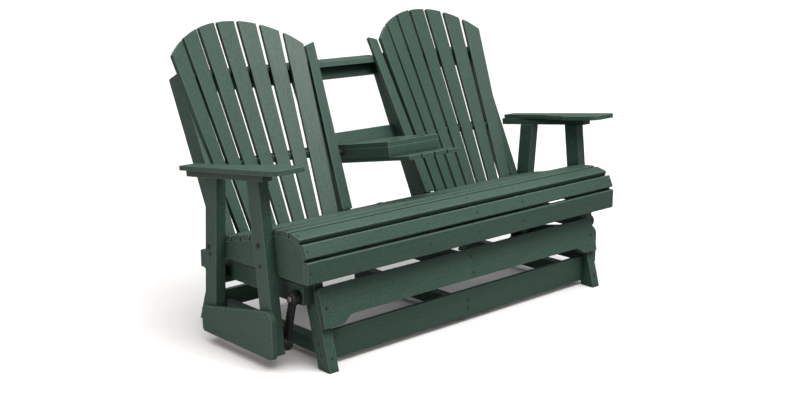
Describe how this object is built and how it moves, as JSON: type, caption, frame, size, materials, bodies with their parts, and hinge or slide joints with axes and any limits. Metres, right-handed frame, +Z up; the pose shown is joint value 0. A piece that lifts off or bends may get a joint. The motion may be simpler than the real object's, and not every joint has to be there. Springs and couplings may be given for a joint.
{
  "type": "glider bench",
  "caption": "Two-seat porch glider with fan-shaped slatted backs, wide armrests, a fold-up centre console with cup holes and a seat hung on swing arms in a low base.",
  "frame": {"origin": "on the ground, under the middle of the bounding box", "axes": "+Z up, +X to the right of someone who looks at the front, the front faces -Y"},
  "size_m": [1.67, 0.8527, 1.0609],
  "materials": {
    "board_plastic": "solid coloured plastic lumber with a fine embossed grain",
    "arm_steel": "black powder coat",
    "bolt_steel": "dull stainless steel"
  },
  "bodies": {
    "base": {"leg_front_left": "board_plastic", "leg_front_right": "board_plastic", "leg_rear_left": "board_plastic", "leg_rear_right": "board_plastic", "top_rail_left": "board_plastic", "top_rail_right": "board_plastic", "side_rail_left": "board_plastic", "side_rail_right": "board_plastic", "centre_rail_upper": "board_plastic", "centre_rail_lower": "board_plastic", "front_apron": "board_plastic", "front_stretcher": "board_plastic", "rear_stretcher": "board_plastic", "rear_board": "board_plastic", "rail_pivot_bolts": "bolt_steel"},
    "front_arms": {"swing_arms_front": "arm_steel"},
    "rear_arms": {"swing_arms_rear": "arm_steel"},
    "seat": {"arm_rail_left": "board_plastic", "arm_rail_right": "board_plastic", "armrest_left": "board_plastic", "armrest_right": "board_plastic", "back_slats_left": "board_plastic", "back_slats_right": "board_plastic", "console_backing": "board_plastic", "console_ledge": "board_plastic", "console_pivot_bolts": "bolt_steel", "console_rail": "board_plastic", "fan_backings": "board_plastic", "fan_braces": "board_plastic", "fan_ledge_left": "board_plastic", "fan_ledge_right": "board_plastic", "glide_panel_left": "board_plastic", "glide_panel_right": "board_plastic", "post_bolts": "bolt_steel", "post_front_left": "board_plastic", "post_front_right": "board_plastic", "post_rear_left": "board_plastic", "post_rear_right": "board_plastic", "rib_outer_left": "board_plastic", "rib_outer_right": "board_plastic", "ribs_inner": "board_plastic", "seat_board_front": "board_plastic", "seat_board_nose_low": "board_plastic", "seat_board_nose_top": "board_plastic", "seat_boards": "board_plastic", "seat_pivot_bolts": "bolt_steel", "upright_inner_left": "board_plastic", "upright_inner_right": "board_plastic", "upright_outer_left": "board_plastic", "upright_outer_right": "board_plastic"},
    "console": {"console_top": "board_plastic", "console_front": "board_plastic", "console_sides": "board_plastic", "console_back": "board_plastic", "console_slats": "board_plastic"}
  },
  "joints": [
    {"name": "glide", "type": "hinge", "parent": "base", "child": "front_arms", "pos_m": [0, -0.3155, 0.24], "axis": [1, 0, 0], "range_deg": [-15, 15]},
    {"name": "seat_hang", "type": "hinge", "parent": "front_arms", "child": "seat", "pos_m": [0, -0.2725, 0.078], "axis": [1, 0, 0], "range_deg": [-17.5, 17.5]},
    {"name": "rear_swing", "type": "hinge", "parent": "base", "child": "rear_arms", "pos_m": [0, 0.0953, 0.24], "axis": [1, 0, 0], "range_deg": [-15, 15]},
    {"name": "console_fold", "type": "hinge", "parent": "seat", "child": "console", "pos_m": [0, 0.1795, 0.564], "axis": [-1, 0, 0], "range_deg": [0, 105]}
  ],
  "couplings": [
    {"joint": "seat_hang", "follows": "glide", "ratio": -1.156},
    {"joint": "rear_swing", "follows": "glide", "ratio": 0.9654}
  ]
}
